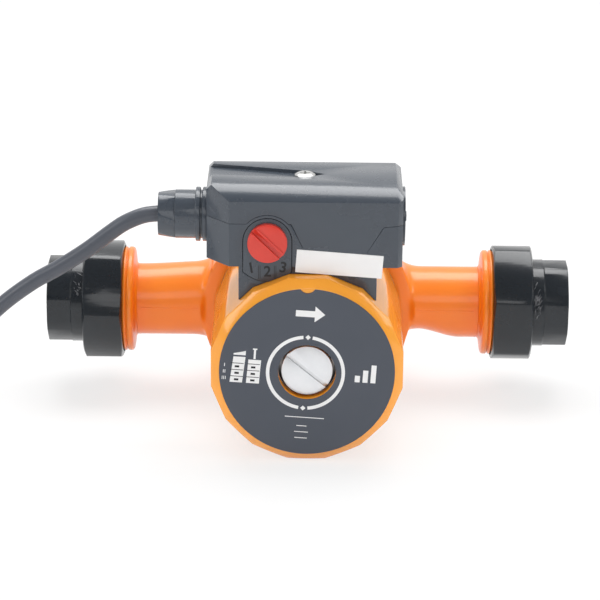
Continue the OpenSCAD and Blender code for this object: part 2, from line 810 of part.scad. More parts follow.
blank_margin = 0.65;
blank_r = side_port_w / 2 - blank_margin;
blank_t = 1.4;
blank_tip_r = 2.2;

module blanking_plug() {
    color("darkslategray") gland_frame(1) {
        cylinder(h = blank_t, r = blank_r, $fn = round_fn);
        translate([0, 0, -box_wall - over]) ring(side_hole_r - seat_gap, side_hole_r - box_wall, box_wall + 2 * over);
        translate([0, 0, blank_t / 2]) cylinder(h = blank_t, r = blank_tip_r, $fn = small_fn);
    }
}

// Sticker: a bare white strip on the cover's flap
sticker_w = 37.2;
sticker_h = 10.2;
sticker_t = 0.25;
sticker_x = 13.4;
sticker_up = 46.6;
sticker_tilt = -4;

module sticker() {
    color("white") pump_frame() translate([sticker_x, sticker_up, box_front]) rotate([0, 0, sticker_tilt])
        translate([-sticker_w / 2, -sticker_h / 2, 0]) cube([sticker_w, sticker_h, sticker_t]);
}

// Unions: nut with six bowed faces, tail with a shoulder inside it, flat gasket
nut_start = 84.3;
nut_bow_r = 42.3;
nut_mid_r = 26.05;
nut_chamfer = 1.6;
thread_play = 0.65;
gasket_t = 2;
tail_flange_t = 4.3;
tail_flange_r = 23.3;
tail_band_end = 18;
tail_end_d = 38.5;
tail_flat = 37.9;
tail_sides = 8;
tail_bore_r = 13;
inlet_turn = 1;
outlet_turn = 18.3;
nut_end = nut_start + nut_w;
nut_seat = port_x + gasket_t + tail_flange_t + run_gap;
tail_step = (tail_d - tail_end_d) / 4;

module union_nut(side, turn) {
    color("black") pipe_frame(side) difference() {
        intersection() {
            translate([0, 0, nut_start]) nut_prism(side, turn);
            rotate_extrude($fn = round_fn) polygon([[0, nut_start], [nut_mid_r - nut_chamfer / 2, nut_start],
                [nut_edge_r + over, nut_start + nut_chamfer], [nut_edge_r + over, nut_end - nut_chamfer],
                [nut_mid_r - nut_chamfer / 2, nut_end], [0, nut_end]]);
        }
        rotate_extrude($fn = round_fn) polygon(concat(
            [[0, nut_start - over], [thread_r + thread_play, nut_start - over],
             [thread_r + thread_play, nut_seat], [tail_d / 2 + run_gap, nut_seat],
             [tail_d / 2 + run_gap, nut_end + over], [0, nut_end + over]]));
    }
}

// Six bowed faces; one of the edges between them stands the given angle above the front
module nut_prism(side, turn) {
    linear_extrude(nut_w) intersection_for (i = [0 : 5])
        rotate((side < 0 ? turn : 180 - turn) + 30 + i * 60)
            translate([nut_mid_r - nut_bow_r, 0]) circle(r = nut_bow_r, $fn = round_fn);
}
module inlet_nut() { union_nut(-1, inlet_turn); }
module outlet_nut() { union_nut(1, outlet_turn); }

module tail(side) {
    first = port_x + gasket_t;
    end = port_x + tail_len;
    band = port_x + tail_band_end;
    color("black") pipe_frame(side) difference() {
        union() {
            translate([0, 0, first]) cylinder(h = tail_flange_t, r = tail_flange_r, $fn = round_fn);
            translate([0, 0, first]) cylinder(h = band - first, r = tail_d / 2, $fn = round_fn);
            translate([0, 0, band - over]) intersection() {
                cylinder(h = end - band + over, r = tail_d / 2 - tail_step, $fn = round_fn);
                linear_extrude(end - band + over)
                    polygon(ring_points(tail_flat / 2 / cos(180 / tail_sides), tail_sides, 180 / tail_sides));
            }
        }
        cylinder(h = end + over, r = tail_bore_r, $fn = round_fn);
        translate([0, 0, end - tail_thread_len]) cylinder(h = tail_thread_len + over, r = tail_thread_d / 2, $fn = round_fn);
    }
}
module inlet_tail() { tail(-1); }
module outlet_tail() { tail(1); }

module gasket(side) {
    color("dimgray") pipe_frame(side) translate([0, 0, port_x]) ring(thread_r - thread_depth, tail_bore_r, gasket_t);
}
module inlet_gasket() { gasket(-1); }
module outlet_gasket() { gasket(1); }

// Mains lead: a free stretch along chosen points, then a two-layer coil, a tie and a plug
// Route of the free stretch, in the object's own frame
lead_route = [[-72, -29, 101], [-80, -29, 97.5], [-87, -29, 92.5], [-97, -30, 85], [-109, -30, 77],
    [-120, -30, 70.5], [-132, -30, 61.5], [-142, -30, 52], [-152, -30, 41], [-162, -30, 29],
    [-172, -30, 17.5], [-180, -30, 10.5], [-188, -29, 6]];
lead_sides = 10;
upright_share = 0.01;
coil_sides = 6;
coil_steps = 24;
coil_pitch = 7.6;
layer_pitch = 7.6;
coil_at = [-204, 15];
coil_start_angle = 270;
half_turn_share = 0.5;
lift = 4.6;
cut_short_share = 0.25;
end_rise_share = 0.3;
exit_point = [-box_left - gland_end, centre_y - side_port_f, axis_h + side_port_up];

// Frame of a ring at point i: two directions square to the route
function heading(p, i) = let (a = p[max(i - 1, 0)], b = p[min(i + 1, len(p) - 1)]) (b - a) / norm(b - a);
function side_way(h) = let (s = cross([0, 0, 1], h)) norm(s) > upright_share ? s / norm(s) : [0, 1, 0];
function ring_at(c, h, r, sides) = let (s = side_way(h), u = cross(h, s))
    [for (k = [0 : sides - 1]) let (a = (k + 0.5) * 360 / sides) c + r * (cos(a) * s + sin(a) * u)];

module tube(points, r, sides, first_way, last_way) {
    n = len(points);
    ways = [for (i = [0 : n - 1]) i == 0 ? first_way : i == n - 1 ? last_way : heading(points, i)];
    rings = [for (i = [0 : n - 1]) each ring_at(points[i], ways[i], r, sides)];
    sides_faces = [for (i = [0 : n - 2]) for (k = [0 : sides - 1]) each [
        [i * sides + k, (i + 1) * sides + k, i * sides + (k + 1) % sides],
        [i * sides + (k + 1) % sides, (i + 1) * sides + k, (i + 1) * sides + (k + 1) % sides]]];
    caps = [[for (k = [0 : sides - 1]) k], [for (k = [sides - 1 : -1 : 0]) (n - 1) * sides + k]];
    polyhedron(rings, concat(sides_faces, caps), convexity = 10);
}

// Coil: in on the lower layer, up in the half turn, out on the upper layer; t counts turns
turns_full = 2 * layer_loops + half_turn_share;
turns_all = turns_full - cut_short_share;
end_rise = plug_d / 2 - lift - layer_pitch;
function reversal(s) = min(s, half_turn_share - s);
function coil_radius(t) = t < layer_loops ? coil_r - coil_pitch * t
    : t < layer_loops + half_turn_share ? coil_r - coil_pitch * (layer_loops + reversal(t - layer_loops))
    : coil_r - coil_pitch * (turns_full - t);
function coil_rise(t) = t < layer_loops ? 0
    : t < layer_loops + half_turn_share ? layer_pitch * (1 - cos((t - layer_loops) * 360)) / 2
    : layer_pitch + end_rise * (1 - cos(180 * max(0, 1 - (turns_all - t) / end_rise_share))) / 2;
function coil_point(t) = let (a = coil_start_angle - 360 * t)
    [coil_at.x + coil_radius(t) * cos(a), coil_at.y + coil_radius(t) * sin(a), lift + coil_rise(t)];
coil_count = ceil(turns_all * coil_steps);
coil_points = [for (i = [0 : coil_count]) coil_point(i / coil_steps)];
// Tangents at the two ends, and the straight end pieces of one diameter
way_in = [-1, 0, 0];
way_out = let (a = coil_start_angle - 360 * turns_all) [sin(a), -cos(a), 0];
coil_line = concat([coil_points[0] - lead_d * way_in], coil_points, [coil_points[coil_count] + lead_d * way_out]);
coil_first = coil_line[0];
coil_last = coil_line[len(coil_line) - 1];

// Least distance between stretches over half a loop apart, less one diameter
coil_self_gap = min([for (i = [0 : coil_count]) for (j = [i + coil_steps / 2 : 1 : coil_count])
    norm(coil_points[i] - coil_points[j])]) - lead_d;
echo(coil_self_gap = coil_self_gap);
coil_length = sum_of([for (i = [1 : len(coil_line) - 1]) norm(coil_line[i] - coil_line[i - 1])]);
lead_line = concat([exit_point], lead_route, [coil_first]);
lead_length = sum_of([for (i = [1 : len(lead_line) - 1]) norm(lead_line[i] - lead_line[i - 1])]);
function sum_of(v, i = 0) = i >= len(v) ? 0 : v[i] + sum_of(v, i + 1);
echo(coil_length = coil_length, lead_length = lead_length, coil_first = coil_first, coil_last = coil_last, way_out = way_out);

module lead() {
    color("dimgray") tube(lead_line, lead_r, lead_sides, [-1, 0, 0], way_in);
}
module lead_coil() {
    color("dimgray") tube(coil_line, lead_r, coil_sides, way_in, way_out);
}

// Tie: a flat strap round the bundle of turns at the back of the coil
tie_w = 6;
tie_t = 0.8;
tie_gap = 0.3;
module coil_tie() {
    bundle = coil_pitch * layer_loops + lead_d / 2 + 2 * tie_gap;
    high = layer_pitch + lead_d + 2 * tie_gap;
    inner = coil_r - coil_pitch * layer_loops - lead_r - tie_gap;
    color("black") translate([coil_at.x - tie_w / 2, coil_at.y + inner, 0]) difference() {
        translate([0, -tie_t, 0]) cube([tie_w, bundle + 2 * tie_t, high + 2 * tie_t]);
        translate([-over, 0, tie_t]) cube([tie_w + 2 * over, bundle, high]);
    }
}

// Plug: lies on the surface beside the coil, in line with the lead's end
plug_len = 38;
relief_len = 26;
relief_r = 5;
pin_r = 2.4;
pin_len = 19;
pin_place = 9.5;
relief_end_r = 7;
plug_back_r = 10;
module plug_frame() {
    translate(coil_last) rotate([0, 0, atan2(way_out.y, way_out.x)]) rotate([0, 90, 0]) children();
}
module plug_body() {
    color("black") plug_frame() {
        cylinder(h = relief_len + over, r1 = relief_r, r2 = relief_end_r, $fn = small_fn);
        translate([0, 0, relief_len]) cylinder(h = plug_len / 2, r1 = plug_back_r, r2 = plug_d / 2, $fn = small_fn);
        translate([0, 0, relief_len + plug_len / 2]) cylinder(h = plug_len / 2, r = plug_d / 2, $fn = small_fn);
    }
}
module plug_pins() {
    color("silver") plug_frame() translate([0, 0, relief_len + plug_len]) for (s = [-1, 1])
        translate([0, s * pin_place, 0]) cylinder(h = pin_len, r = pin_r, $fn = small_fn);
}

pump_housing();
impeller();
thrust_ring();
shaft();
rotor_core();
front_bearing();
rear_bearing();
bearing_plate();
housing_seal();
rotor_can();
stator_core();
stator_windings();
motor_housing();
housing_screws();
label_plate();
vent_plug();
vent_plug_seal();
box_base();
box_cover();
cover_screw();
dial_plate();
speed_knob();
speed_switch();
capacitor();
terminal_block();
gland_body();
gland_seal();
gland_nut();
lead_inner();
blanking_plug();
sticker();
inlet_nut();
outlet_nut();
inlet_tail();
outlet_tail();
inlet_gasket();
outlet_gasket();
lead();
lead_coil();
coil_tie();
plug_body();
plug_pins();
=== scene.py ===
# %% [markdown]
# # A circulation pump, dressed for its portrait
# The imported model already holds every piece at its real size. This script gives the pieces
# their finish, adds what a solid can't hold, such as print, cast skin and the lead's smooth
# curve, and sets up the camera and the light. Everything is in metres.

# %% Load the frame
import json
import math
import random

import bmesh
import bpy
from mathutils import Matrix, Vector


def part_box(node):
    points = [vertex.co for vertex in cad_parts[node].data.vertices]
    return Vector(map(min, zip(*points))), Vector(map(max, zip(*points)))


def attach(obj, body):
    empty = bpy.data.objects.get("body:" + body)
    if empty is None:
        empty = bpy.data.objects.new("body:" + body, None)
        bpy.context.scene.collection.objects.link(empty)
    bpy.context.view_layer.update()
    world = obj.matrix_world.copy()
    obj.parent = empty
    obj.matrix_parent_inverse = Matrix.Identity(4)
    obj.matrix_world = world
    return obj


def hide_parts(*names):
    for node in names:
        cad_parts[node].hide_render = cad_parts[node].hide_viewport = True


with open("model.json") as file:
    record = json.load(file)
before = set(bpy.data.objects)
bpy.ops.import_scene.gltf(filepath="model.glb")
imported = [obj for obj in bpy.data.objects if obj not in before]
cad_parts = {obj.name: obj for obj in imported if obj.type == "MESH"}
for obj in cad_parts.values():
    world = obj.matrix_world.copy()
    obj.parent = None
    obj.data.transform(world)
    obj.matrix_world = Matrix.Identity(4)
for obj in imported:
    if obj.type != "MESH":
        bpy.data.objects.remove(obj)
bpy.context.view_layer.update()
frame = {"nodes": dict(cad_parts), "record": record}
nodes = frame["nodes"]
print("pieces in the frame:", len(nodes))

# %% [markdown]
# ## Where things are
# The pump has two axes that cross: the pipe axis along X, and the motor axis towards the
# camera. Both heights and depths come from the frame's own pieces, so nothing is fitted.

# %% Two axes
MM = 0.001
tail_low, tail_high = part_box("outlet_tail")
PIPE_Y = (tail_low.y + tail_high.y) / 2
AXIS_Z = (tail_low.z + tail_high.z) / 2
CROSSING = Vector((0, PIPE_Y, AXIS_Z))


def place(x, up, forward):
    """A point given in millimetres right of, above and ahead of the crossing of the axes."""
    return CROSSING + Vector((x, -forward, up)) * MM


print("axes cross at", tuple(round(v, 4) for v in CROSSING))

# %% [markdown]
# ## Camera
# The photograph looks slightly down on the pump through a long lens, so lines stay almost
# parallel. A far camera with a narrow field gives the same flat perspective. The picture is
# turned by a little over half a degree, and the pump sits a little right of its middle.

# %% Camera
CAMERA_RISE = math.radians(19.5)
CAMERA_AWAY = 1.31
CAMERA_TURN = math.radians(0.6)
CENTRE_SHIFT = (307.7 - 300) / 600
SENSOR, LENS = 36, 170.2
QUARTER = math.radians(90)

camera_data = bpy.data.cameras.new("portrait_lens")
camera_data.sensor_width = SENSOR
camera_data.lens = LENS
camera_data.shift_x = -CENTRE_SHIFT
camera = bpy.data.objects.new("portrait_camera", camera_data)
bpy.context.collection.objects.link(camera)
towards_lens = Vector((0, -math.cos(CAMERA_RISE), math.sin(CAMERA_RISE)))
camera.location = CROSSING + CAMERA_AWAY * towards_lens
tilt = Matrix.Rotation(QUARTER - CAMERA_RISE, 4, "X")
camera.rotation_euler = (tilt @ Matrix.Rotation(CAMERA_TURN, 4, "Z")).to_euler()
bpy.context.scene.camera = camera
bpy.context.scene.view_settings.view_transform = "Standard"
print("camera at", tuple(round(v, 3) for v in camera.location))

# %% [markdown]
# ## Materials
# Real finishes are never one flat value: paint has orange peel, moulded plastic a fine grain,
# and every edge catches a little wear. Two effects are shared by many finishes, so each is a
# node group: one breaks up a colour, the other makes a fine surface bump.

# %% Helpers for node trees


def new_socket(group, name, way, kind, value=None):
    """Adds a named socket to a node group and gives it a starting value."""
    socket = group.interface.new_socket(name=name, in_out=way, socket_type=kind)
    if value is not None:
        socket.default_value = value


def math_node(nodes, operation):
    """A math node of one kind."""
    node = nodes.new("ShaderNodeMath")
    node.operation = operation
    return node


# %% [markdown]
# The first group is the cloud. Noise picks where the darker tone shows, a range keeps its
# contrast, and the amount says how strong it gets. Its mask also drives the gloss, so a
# darker cloud is a little less shiny, as handled paint is.

# %% Mottle
CLOUD_DETAIL, CLOUD_ROUGHNESS = 5, 0.6
CLOUD_LOW, CLOUD_HIGH = 0.35, 0.7


def mottle_group():
    """Mixes a colour with a darker tone in soft clouds."""
    group = bpy.data.node_groups.new("mottle", "ShaderNodeTree")
    new_socket(group, "Base", "INPUT", "NodeSocketColor")
    new_socket(group, "Dark", "INPUT", "NodeSocketColor")
    new_socket(group, "Cloud Scale", "INPUT", "NodeSocketFloat", 40.0)
    new_socket(group, "Amount", "INPUT", "NodeSocketFloat", 0.3)
    new_socket(group, "Color", "OUTPUT", "NodeSocketColor")
    new_socket(group, "Mask", "OUTPUT", "NodeSocketFloat")
    n, link = group.nodes, group.links.new
    start, end = n.new("NodeGroupInput"), n.new("NodeGroupOutput")
    where = n.new("ShaderNodeTexCoord")
    cloud = n.new("ShaderNodeTexNoise")
    cloud.inputs["Detail"].default_value = CLOUD_DETAIL
    cloud.inputs["Roughness"].default_value = CLOUD_ROUGHNESS
    spread = n.new("ShaderNodeMapRange")
    spread.inputs["From Min"].default_value = CLOUD_LOW
    spread.inputs["From Max"].default_value = CLOUD_HIGH
    strength = math_node(n, "MULTIPLY")
    mix = n.new("ShaderNodeMix")
    mix.data_type = "RGBA"
    link(where.outputs["Object"], cloud.inputs["Vector"])
    link(start.outputs["Cloud Scale"], cloud.inputs["Scale"])
    link(cloud.outputs["Fac"], spread.inputs["Value"])
    link(spread.outputs["Result"], strength.inputs[0])
    link(start.outputs["Amount"], strength.inputs[1])
    link(strength.outputs[0], mix.inputs["Factor"])
    link(start.outputs["Base"], mix.inputs["A"])
    link(start.outputs["Dark"], mix.inputs["B"])
    link(mix.outputs["Result"], end.inputs["Color"])
    link(strength.outputs[0], end.inputs["Mask"])
    return group


MOTTLE = mottle_group()
print("shared colour effect:", MOTTLE.name)

# %% [markdown]
# The second group is the grain. A fine noise stands for the tool's texture and a coarse one
# for the slow waves of paint or moulded walls. Their heights are real lengths in metres.

# %% Grain
GRAIN_DETAIL = 3


def grain_group():
    """Turns a fine and a coarse noise into one bumped normal."""
    group = bpy.data.node_groups.new("grain", "ShaderNodeTree")
    new_socket(group, "Fine Scale", "INPUT", "NodeSocketFloat", 900.0)
    new_socket(group, "Coarse Scale", "INPUT", "NodeSocketFloat", 120.0)
    new_socket(group, "Fine Height", "INPUT", "NodeSocketFloat", 0.00003)
    new_socket(group, "Coarse Height", "INPUT", "NodeSocketFloat", 0.00003)
    new_socket(group, "Normal", "OUTPUT", "NodeSocketVector")
    n, link = group.nodes, group.links.new
    start, end = n.new("NodeGroupInput"), n.new("NodeGroupOutput")
    where = n.new("ShaderNodeTexCoord")
    total = math_node(n, "ADD")
    for k, size in enumerate(("Fine", "Coarse")):
        noise = n.new("ShaderNodeTexNoise")
        noise.inputs["Detail"].default_value = GRAIN_DETAIL
        times = math_node(n, "MULTIPLY")
        link(where.outputs["Object"], noise.inputs["Vector"])
        link(start.outputs[size + " Scale"], noise.inputs["Scale"])
        link(noise.outputs["Fac"], times.inputs[0])
        link(start.outputs[size + " Height"], times.inputs[1])
        link(times.outputs[0], total.inputs[k])
    bump = n.new("ShaderNodeBump")
    bump.inputs["Distance"].default_value = 1.0
    link(total.outputs[0], bump.inputs["Height"])
    link(bump.outputs["Normal"], end.inputs["Normal"])
    return group


GRAIN = grain_group()
print("shared surface effect:", GRAIN.name)

# %% [markdown]
# One function lays out every finish: a Principled shader, the mottled colour, a roughness
# that follows the same clouds, and the grain. A value that is the same all over a piece goes
# straight onto the shader's own socket, and only what changes comes through a group.

# %% Finish maker
ROUGH_SPREAD = 0.08
COAT_ROUGHNESS = 0.06


def finish_of(name, base, dark, rough, metal=0.0, coat=0.0, clouds=60.0, amount=0.35,
              fine=(1400.0, 0.00001), coarse=(180.0, 0.00002), specular=0.5):
    """A procedural finish with clouded colour, uneven gloss and a fine grain."""
    material = bpy.data.materials.new(name)
    material.use_nodes = True
    n, link = material.node_tree.nodes, material.node_tree.links.new
    shader = n["Principled BSDF"]
    shader.inputs["Metallic"].default_value = metal
    shader.inputs["Coat Weight"].default_value = coat
    shader.inputs["Coat Roughness"].default_value = COAT_ROUGHNESS
    shader.inputs["Specular IOR Level"].default_value = specular
    mottle = n.new("ShaderNodeGroup")
    mottle.node_tree = MOTTLE
    mottle.inputs["Base"].default_value = (*base, 1)
    mottle.inputs["Dark"].default_value = (*dark, 1)
    mottle.inputs["Cloud Scale"].default_value = clouds
    mottle.inputs["Amount"].default_value = amount
    grain = n.new("ShaderNodeGroup")
    grain.node_tree = GRAIN
    for size, (scale, height) in (("Fine", fine), ("Coarse", coarse)):
        grain.inputs[size + " Scale"].default_value = scale
        grain.inputs[size + " Height"].default_value = height
    gloss = n.new("ShaderNodeMapRange")
    gloss.inputs["To Min"].default_value = rough
    gloss.inputs["To Max"].default_value = rough + ROUGH_SPREAD
    link(mottle.outputs["Color"], shader.inputs["Base Color"])
    link(mottle.outputs["Mask"], gloss.inputs["Value"])
    link(gloss.outputs["Result"], shader.inputs["Roughness"])
    link(grain.outputs["Normal"], shader.inputs["Normal"])
    return material


print("roughness varies by", ROUGH_SPREAD)

# %% [markdown]
# Now the numbers: a base colour, its darker cloud and a roughness for each finish of the
# pump. The motor's cup is a shade more yellow than the cast iron, so it has a lacquer of its
# own. The inner pieces show when the cover is lifted, and get their finishes too.

# %% Finishes of the pump
FINISH = {
    "orange_paint": finish_of(
        "orange_enamel", (0.97, 0.245, 0.012), (0.84, 0.17, 0.008), 0.34, coat=0.3,
        clouds=30, amount=0.25, coarse=(220.0, 0.00003)),
    "orange_cup": finish_of(
        "orange_lacquer", (0.95, 0.37, 0.03), (0.86, 0.29, 0.02), 0.22, coat=0.5,
        clouds=30, amount=0.2, coarse=(160.0, 0.00001)),
    "slate_plastic": finish_of(
        "slate_moulding", (0.052, 0.064, 0.082), (0.042, 0.051, 0.066), 0.26, coat=0.3,
        clouds=50, fine=(2600.0, 0.000008), coarse=(300.0, 0.000008)),
    "slate_label": finish_of(
        "slate_film", (0.064, 0.074, 0.096), (0.056, 0.066, 0.086), 0.45, coat=0.05,
        fine=(3000.0, 0.000004), coarse=(400.0, 0.000004)),
    "black_iron": finish_of(
        "black_enamel", (0.012, 0.016, 0.021), (0.007, 0.009, 0.012), 0.22, coat=0.3,
        specular=0.4, clouds=90, coarse=(420.0, 0.00003)),
    "steel": finish_of(
        "machined_steel", (0.56, 0.56, 0.55), (0.4, 0.4, 0.4), 0.3, metal=1.0),
    "bright_plug": finish_of(
        "plated_brass", (0.84, 0.85, 0.87), (0.72, 0.74, 0.77), 0.3, metal=0.85, clouds=160),
    "knob_red": finish_of(
        "red_nylon", (0.68, 0.04, 0.022), (0.54, 0.026, 0.015), 0.28, coat=0.3, clouds=120),
    "sticker_white": finish_of(
        "white_film", (0.86, 0.86, 0.86), (0.8, 0.8, 0.8), 0.45, amount=0.2),
    "seal_rubber": finish_of(
        "black_rubber", (0.02, 0.02, 0.021), (0.01, 0.01, 0.01), 0.6),
    "impeller_plastic": finish_of(
        "impeller_nylon", (0.72, 0.64, 0.47), (0.6, 0.52, 0.36), 0.4),
    "bush_ceramic": finish_of(
        "ground_ceramic", (0.12, 0.12, 0.13), (0.08, 0.08, 0.085), 0.3),
    "lamination": finish_of(
        "laminated_iron", (0.32, 0.32, 0.33), (0.2, 0.2, 0.21), 0.45, metal=0.9, clouds=400),
    "winding": finish_of(
        "enamelled_copper", (0.62, 0.22, 0.08), (0.4, 0.12, 0.04), 0.35, metal=0.7, clouds=500),
    "black_plastic": finish_of(
        "black_nylon", (0.016, 0.021, 0.026), (0.010, 0.012, 0.016), 0.28, coat=0.25,
        fine=(2200.0, 0.00001)),
    "pale_plastic": finish_of(
        "pale_nylon", (0.8, 0.78, 0.72), (0.7, 0.68, 0.6), 0.4),
    "capacitor_skin": finish_of(
        "blue_sleeve", (0.08, 0.16, 0.45), (0.05, 0.1, 0.3), 0.3),
    "lead_sheath": finish_of(
        "grey_sheath", (0.078, 0.086, 0.106), (0.06, 0.068, 0.084), 0.38, coat=0.1,
        clouds=80, fine=(2600.0, 0.00001)),
    "pin_nickel": finish_of(
        "nickel_plate", (0.75, 0.72, 0.66), (0.6, 0.57, 0.52), 0.2, metal=1.0),
}
finish_name = {s["node"]: s["material_slot"] for s in frame["record"]["subparts"]}
finish_name["motor_housing"] = "orange_cup"
for name, piece in nodes.items():
    piece.data.materials.clear()
    piece.data.materials.append(FINISH[finish_name[name]])
print("finishes:", len(FINISH))

# %% [markdown]
# ## Built meshes
# Several pieces below are built face by face. They all end in the same way: the built mesh
# becomes an object with one finish, and the round ones are shaded smooth.

# %% Helpers for built meshes


def built_piece(name, build, look):
    """Turns a built mesh into an object with one finish."""
    mesh = bpy.data.meshes.new(name)
    build.to_mesh(mesh)
    build.free()
    mesh.materials.append(look)
    piece = bpy.data.objects.new(name, mesh)
    bpy.context.collection.objects.link(piece)
    return piece


def shade_smooth(mesh):
    """Lets the light run smoothly over all faces of a mesh."""
    for face in mesh.polygons:
        face.use_smooth = True


# %% [markdown]
# ## Floor and light
# A product photograph is taken on white paper that curves up behind the object. A wide flat
# sheet and a white room do the same job and leave every side of the pump open to view. The
# sheet looks nearly white to the lens, yet it keeps part of the pump's soft shadow.

# %% White for the lens and for gloss
SHADOW_KEPT = 0.3
WHITE = (1, 1, 1, 1)


def white_in_gloss(tree, surface, white):
    """Plain white for glossy and see-through rays; the lens sees it too, with some shadow kept."""
    n, link = tree.nodes, tree.links.new
    path = n.new("ShaderNodeLightPath")
    either = math_node(n, "MAXIMUM")
    lens = math_node(n, "MULTIPLY")
    lens.inputs[1].default_value = 1 - SHADOW_KEPT
    strongest = math_node(n, "MAXIMUM")
    mix = n.new("ShaderNodeMixShader")
    link(path.outputs["Is Glossy Ray"], either.inputs[0])
    link(path.outputs["Is Transmission Ray"], either.inputs[1])
    link(path.outputs["Is Camera Ray"], lens.inputs[0])
    link(either.outputs[0], strongest.inputs[0])
    link(lens.outputs[0], strongest.inputs[1])
    link(strongest.outputs[0], mix.inputs["Fac"])
    link(surface, mix.inputs[1])
    link(white, mix.inputs[2])
    return mix.outputs["Shader"]


print("share of the shadow that the lens keeps:", SHADOW_KEPT)

# %% [markdown]
# The sheet is a plain grid, far wider than the view, with a rough off-white finish. Its glow
# is what the mix above shows to the lens and to gloss.

# %% Paper
PAPER_HALF = 6.0
PAPER_CELLS = 24
PAPER_TONE = (0.9, 0.9, 0.9, 1)
PAPER_ROUGHNESS = 0.9

paper_look = bpy.data.materials.new("white_paper")
paper_look.use_nodes = True
paper_nodes = paper_look.node_tree.nodes
paper_shader = paper_nodes["Principled BSDF"]
paper_shader.inputs["Base Color"].default_value = PAPER_TONE
paper_shader.inputs["Roughness"].default_value = PAPER_ROUGHNESS
paper_glow = paper_nodes.new("ShaderNodeEmission")
paper_glow.inputs["Color"].default_value = WHITE
seen = white_in_gloss(paper_look.node_tree, paper_shader.outputs["BSDF"], paper_glow.outputs["Emission"])
paper_look.node_tree.links.new(seen, paper_nodes["Material Output"].inputs["Surface"])
sheet = bmesh.new()
bmesh.ops.create_grid(sheet, x_segments=PAPER_CELLS, y_segments=PAPER_CELLS, size=PAPER_HALF)
paper = built_piece("paper_sheet", sheet, paper_look)
print("paper sheet:", 2 * PAPER_HALF, "m wide")

# %% [markdown]
# The photograph shows broad pale reflections on the upper facets and darker fronts: a large
# soft box above and behind, a weaker one from each side, and a room that gloss sees as a
# bright wall behind the pump and a dim one behind the lens.

# %% Lamps


def soft_box(name, at, size, power):
    """A rectangular area lamp that looks at the pump."""
    lamp = bpy.data.lights.new(name, "AREA")
    lamp.shape = "RECTANGLE"
    lamp.size, lamp.size_y = size
    lamp.energy = power
    holder = bpy.data.objects.new(name, lamp)
    bpy.context.collection.objects.link(holder)
    holder.location = at
    holder.rotation_euler = (CROSSING - Vector(at)).to_track_quat("-Z", "Y").to_euler()


soft_box("overhead_box", (0.0, 0.45, 1.15), (1.2, 0.7), 14)
soft_box("left_box", (-1.2, -0.5, 0.7), (0.5, 1.0), 5)
soft_box("right_box", (1.2, -0.4, 0.8), (0.5, 1.0), 5)
soft_box("front_fill", (0.0, -1.6, 0.9), (1.2, 0.6), 4)

# %% [markdown]
# The room does three jobs, told apart by the kind of ray that meets it: an even light on the
# pump, a wall that is bright behind and dim in front for gloss, and plain white for the lens.

# %% Room
ROOM_LIGHT = 0.5
ROOM_WALL = {"From Min": 0.1, "From Max": 0.75, "To Min": 0.2, "To Max": 0.95}

room = bpy.data.worlds.new("white_room")
bpy.context.scene.world = room
room.use_nodes = True
room_nodes, room_link = room.node_tree.nodes, room.node_tree.links.new
room_path = room_nodes.new("ShaderNodeLightPath")


def white_background(node):
    """Sets a background node to white."""
    node.inputs["Color"].default_value = WHITE
    return node


def shown_to(ray, others_see, ray_sees):
    """Shows one shader to a kind of ray and another to the rest."""
    mix = room_nodes.new("ShaderNodeMixShader")
    room_link(room_path.outputs[ray], mix.inputs["Fac"])
    room_link(others_see, mix.inputs[1])
    room_link(ray_sees, mix.inputs[2])
    return mix.outputs["Shader"]


even_light = white_background(room_nodes["Background"])
even_light.inputs["Strength"].default_value = ROOM_LIGHT
gloss_wall = white_background(room_nodes.new("ShaderNodeBackground"))
lens_white = white_background(room_nodes.new("ShaderNodeBackground"))
room_way = room_nodes.new("ShaderNodeTexCoord")
room_split = room_nodes.new("ShaderNodeSeparateXYZ")
wall_fade = room_nodes.new("ShaderNodeMapRange")
wall_fade.interpolation_type = "SMOOTHSTEP"
for socket, value in ROOM_WALL.items():
    wall_fade.inputs[socket].default_value = value
room_link(room_way.outputs["Generated"], room_split.inputs["Vector"])
room_link(room_split.outputs["Y"], wall_fade.inputs["Value"])
room_link(wall_fade.outputs["Result"], gloss_wall.inputs["Strength"])
lit = shown_to("Is Glossy Ray", even_light.outputs["Background"], gloss_wall.outputs["Background"])
lit = shown_to("Is Camera Ray", lit, lens_white.outputs["Background"])
room_link(lit, room_nodes["World Output"].inputs["Surface"])
print("room light:", ROOM_LIGHT)

# %% [markdown]
# ## Mains lead
# A lead is a fixed length of something springy. It leaves the gland level, droops in one
# slow bend to the surface, and the rest is wound in two layers, in on the lower and out on
# the upper one, with the plug lying beside it. A curve with a round bevel follows the same
# points as the solid, rounded between them.

# %% Sizes of the lead and its coil
LEAD_D = 0.007
ROUTE_MM = [(-72, -29, 101), (-80, -29, 97.5), (-87, -29, 92.5), (-97, -30, 85), (-109, -30, 77),
            (-120, -30, 70.5), (-132, -30, 61.5), (-142, -30, 52), (-152, -30, 41), (-162, -30, 29),
            (-172, -30, 17.5), (-180, -30, 10.5), (-188, -29, 6)]
COIL_AT = Vector((-204, 15))
COIL_R, PITCH, LIFT = 43.6, 7.6, 4.6
LAYER_LOOPS, HALF_TURN, CUT_SHORT, END_RISE_SHARE = 2, 0.5, 0.25, 0.3
PLUG_R = 18.5
TURNS_FULL = 2 * LAYER_LOOPS + HALF_TURN
TURNS = TURNS_FULL - CUT_SHORT
END_RISE = PLUG_R - LIFT - PITCH
STEPS_A_TURN, STEPS_A_BEND = 48, 5
COIL_START = math.radians(270)
print("turns in the coil:", TURNS)

# %% [markdown]
# The coil is drawn by how many turns have passed: one function gives its radius, one its
# height and one the point itself. Where the spiral reverses, the lead climbs to the upper
# layer, and at its end it lifts to the middle of the plug.

# %% Shape of the coil


